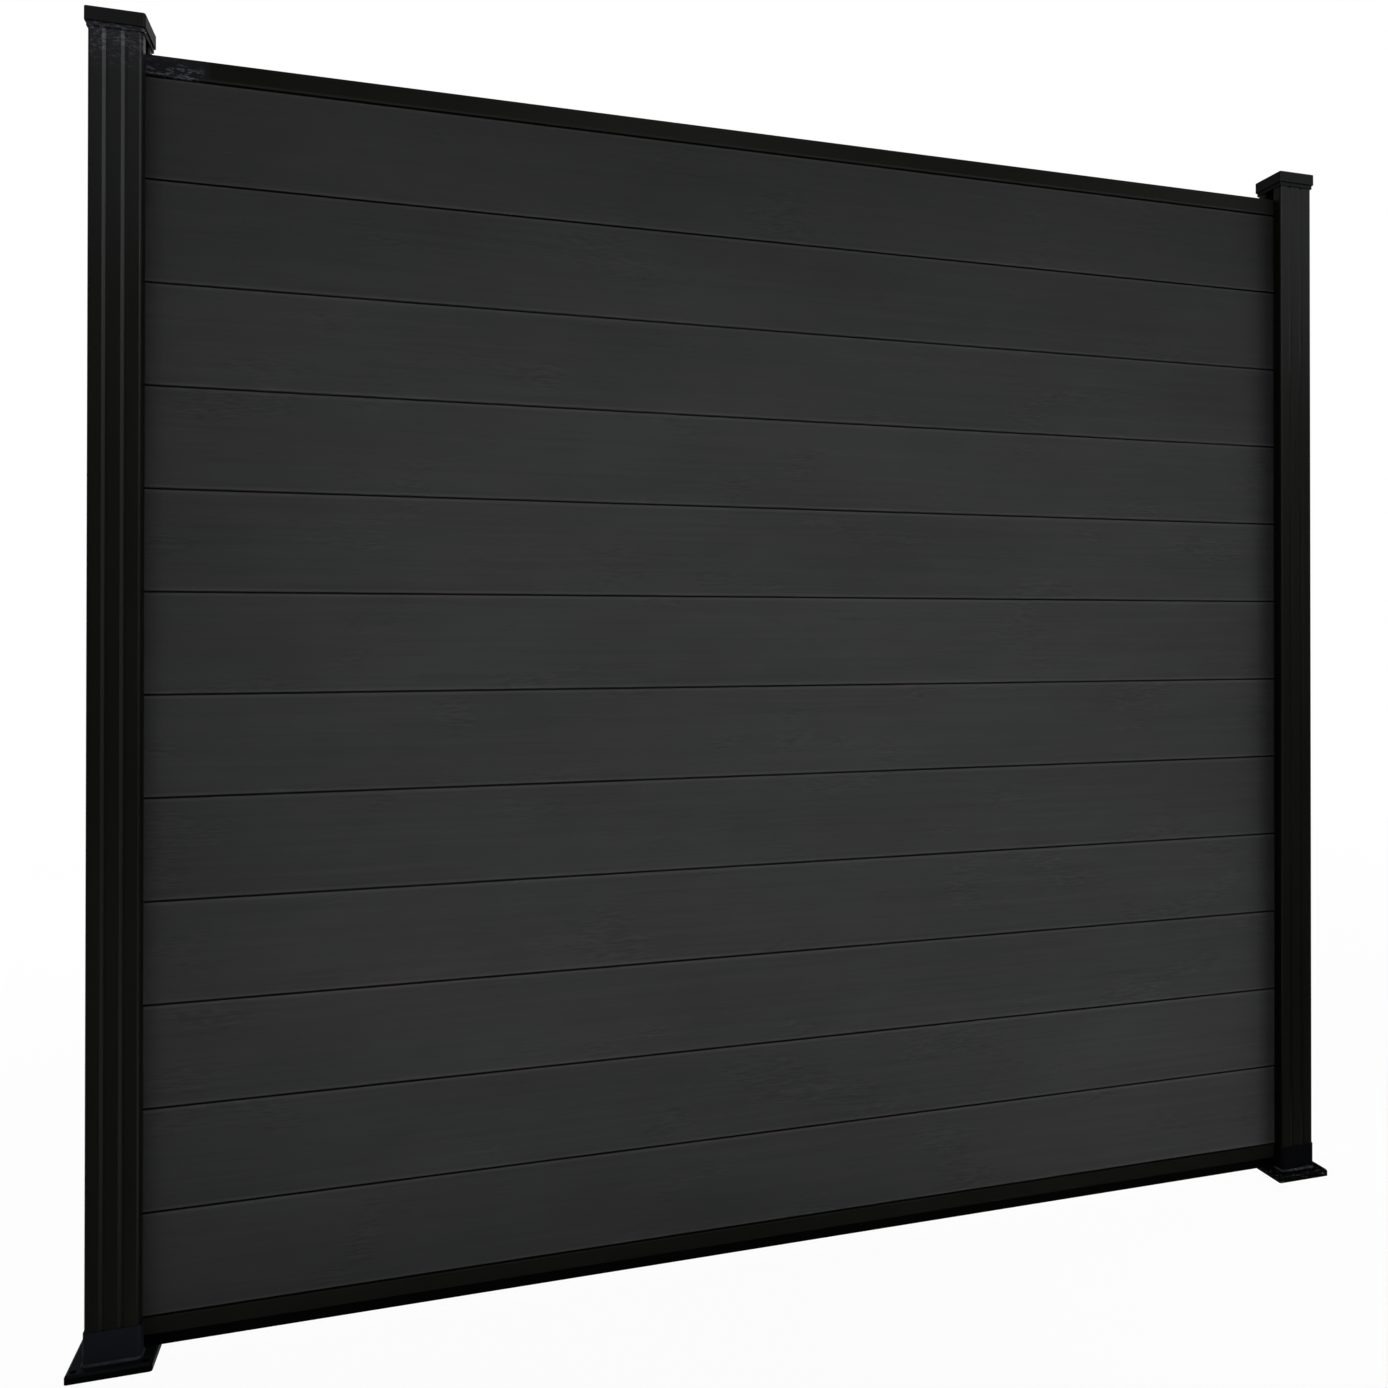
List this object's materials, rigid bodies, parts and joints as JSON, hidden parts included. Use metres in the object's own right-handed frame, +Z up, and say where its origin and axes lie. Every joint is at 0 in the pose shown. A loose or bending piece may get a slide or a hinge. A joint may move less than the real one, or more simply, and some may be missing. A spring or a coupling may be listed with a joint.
{
  "type": "composite fence panel",
  "caption": "Privacy fence panel of stacked horizontal charcoal composite boards between two square black aluminium posts with flat caps and base shoes, with a rail above and below.",
  "frame": {"origin": "on the ground, midway between the two posts and midway through their depth", "axes": "+X along the panel to the viewer's right, front face towards -Y, +Z up"},
  "size_m": [2.126, 0.11, 1.935],
  "materials": {
    "composite_board": "matte charcoal wood-plastic composite with a fine embossed grain",
    "black_aluminium": "satin black powder coat on extruded aluminium",
    "cap_plastic": "satin black",
    "cast_aluminium": "satin black powder coat on cast aluminium",
    "screw_steel": "bright steel"
  },
  "bodies": {
    "root": {"board_01": "composite_board", "board_02": "composite_board", "board_03": "composite_board", "board_04": "composite_board", "board_05": "composite_board", "board_06": "composite_board", "board_07": "composite_board", "board_08": "composite_board", "board_09": "composite_board", "board_10": "composite_board", "board_11": "composite_board", "board_12": "composite_board", "bottom_rail": "black_aluminium", "top_rail": "black_aluminium", "left_post": "black_aluminium", "left_front_strip": "black_aluminium", "left_back_strip": "black_aluminium", "left_outer_strip": "black_aluminium", "left_post_cap": "cap_plastic", "left_base_shoe": "cast_aluminium", "left_post_screws": "screw_steel", "right_post": "black_aluminium", "right_front_strip": "black_aluminium", "right_back_strip": "black_aluminium", "right_outer_strip": "black_aluminium", "right_post_cap": "cap_plastic", "right_base_shoe": "cast_aluminium", "right_post_screws": "screw_steel"}
  },
  "joints": []
}
